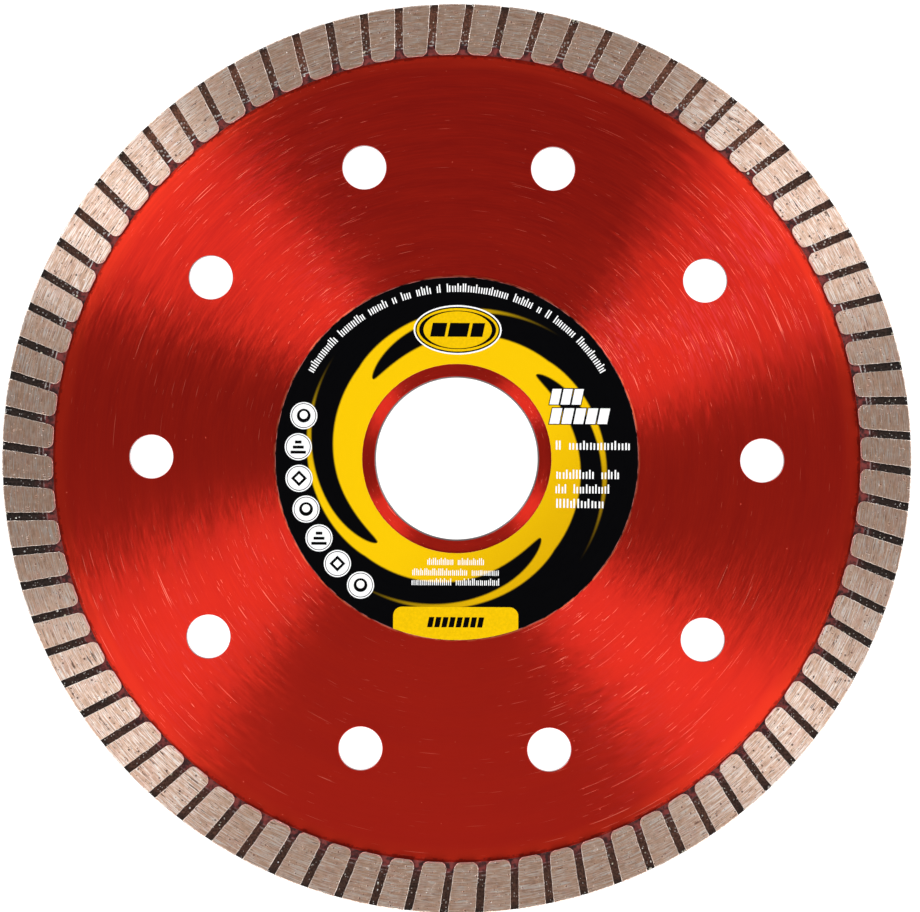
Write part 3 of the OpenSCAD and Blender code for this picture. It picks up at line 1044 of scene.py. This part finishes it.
# Each light's azimuth in degrees, width and power. The soft boxes make the ground faces' bright wedges.
SOFTBOXES = {"softbox_right": (31.5, 0.23, 0.84), "softbox_left": (137.5, 0.2, 0.83),
             "softbox_front_left": (210, 0.205, 0.58), "softbox_front_right": (312, 0.18, 0.53)}
SOFTBOX_ELEVATION, SOFTBOX_DISTANCE, SOFTBOX_HEIGHT = 45, 0.55, 0.2
FILLS = {"fill": (265, 0.9, 3.0), "side_fill": (0, 0.8, 1.1)}
FILL_ELEVATION, FILL_DISTANCE, FILL_HEIGHT = 22, 0.8, 0.3
WORLD_STOPS = ((0.0, 0.85), (0.3, 0.6), (0.7, 0.42), (0.93, 0.36), (1.0, 0.1))
FLOOR_HALF = 3.0
FLOOR_GAP = 0.005 * MM
CAMERA_DISTANCE, SEEN_WIDTH = 0.6, 126.65 * MM
CAMERA_X, CAMERA_Y, CAMERA_ROLL = 0.44 * MM, 0.36 * MM, math.radians(0.38)


def stage_floor():
    s = Shader("floor", Roughness=0.9, Base_Color=(0.6, 0.6, 0.6, 1),
               Emission_Color=(1, 1, 1, 1), Emission_Strength=0.75)
    z = -PAD_Z * MM - FLOOR_GAP
    corners = [(x * FLOOR_HALF, y * FLOOR_HALF, z) for x, y in ((-1, -1), (1, -1), (1, 1), (-1, 1))]
    mesh = bpy.data.meshes.new("floor")
    mesh.from_pydata(corners, [], [(0, 1, 2, 3)])
    mesh.materials.append(s.material)
    floor = bpy.data.objects.new("floor", mesh)
    bpy.context.scene.collection.objects.link(floor)


def area_light(name, azimuth_deg, elevation_deg, distance, width, height, power, colour):
    data = bpy.data.lights.new(name, "AREA")
    data.shape = "RECTANGLE"
    data.size, data.size_y, data.energy, data.color = width, height, power, colour
    a, e = math.radians(azimuth_deg), math.radians(elevation_deg)
    place = Vector((math.cos(a) * math.cos(e), math.sin(a) * math.cos(e), math.sin(e))) * distance
    lamp = bpy.data.objects.new(name, data)
    lamp.location = place
    lamp.rotation_euler = place.to_track_quat("Z", "Y").to_euler()
    bpy.context.scene.collection.objects.link(lamp)


def studio_lights():
    for name, (azimuth, width, power) in SOFTBOXES.items():
        area_light(name, azimuth, SOFTBOX_ELEVATION, SOFTBOX_DISTANCE, width, SOFTBOX_HEIGHT, power, COOL)
    for name, (azimuth, width, power) in FILLS.items():
        area_light(name, azimuth, FILL_ELEVATION, FILL_DISTANCE, width, FILL_HEIGHT, power, WARM)


def studio_world():
    """A room that is bright below and darkest overhead."""
    world = bpy.data.worlds.new("studio")
    world.use_nodes = True
    bpy.context.scene.world = world
    tree = world.node_tree
    height = tree.nodes.new("ShaderNodeSeparateXYZ")
    coordinates = tree.nodes.new("ShaderNodeTexCoord")
    ramp = tree.nodes.new("ShaderNodeValToRGB")
    tree.links.new(coordinates.outputs["Generated"], height.inputs[0])
    tree.links.new(height.outputs["Z"], ramp.inputs[0])
    elements = ramp.color_ramp.elements
    while len(elements) < len(WORLD_STOPS):
        elements.new(0.5)
    for element, (at, value) in zip(elements, WORLD_STOPS):
        element.position = at
        element.color = tuple(value * share for share in WARM) + (1,)
    tree.links.new(ramp.outputs[0], tree.nodes["Background"].inputs[0])


def face_on_camera():
    """Looks straight down the arbor axis, a little off centre and rolled, as the blade was pictured."""
    data = bpy.data.cameras.new("camera")
    data.sensor_width = 36.0
    data.lens = data.sensor_width * CAMERA_DISTANCE / SEEN_WIDTH
    data.clip_start, data.clip_end = 0.01, 20.0
    camera = bpy.data.objects.new("camera", data)
    camera.location = (CAMERA_X, CAMERA_Y, CAMERA_DISTANCE)
    camera.rotation_euler = (0, 0, CAMERA_ROLL)
    bpy.context.scene.collection.objects.link(camera)
    bpy.context.scene.camera = camera


stage_floor()
studio_lights()
studio_world()
face_on_camera()
bpy.context.scene.view_settings.view_transform = "Standard"
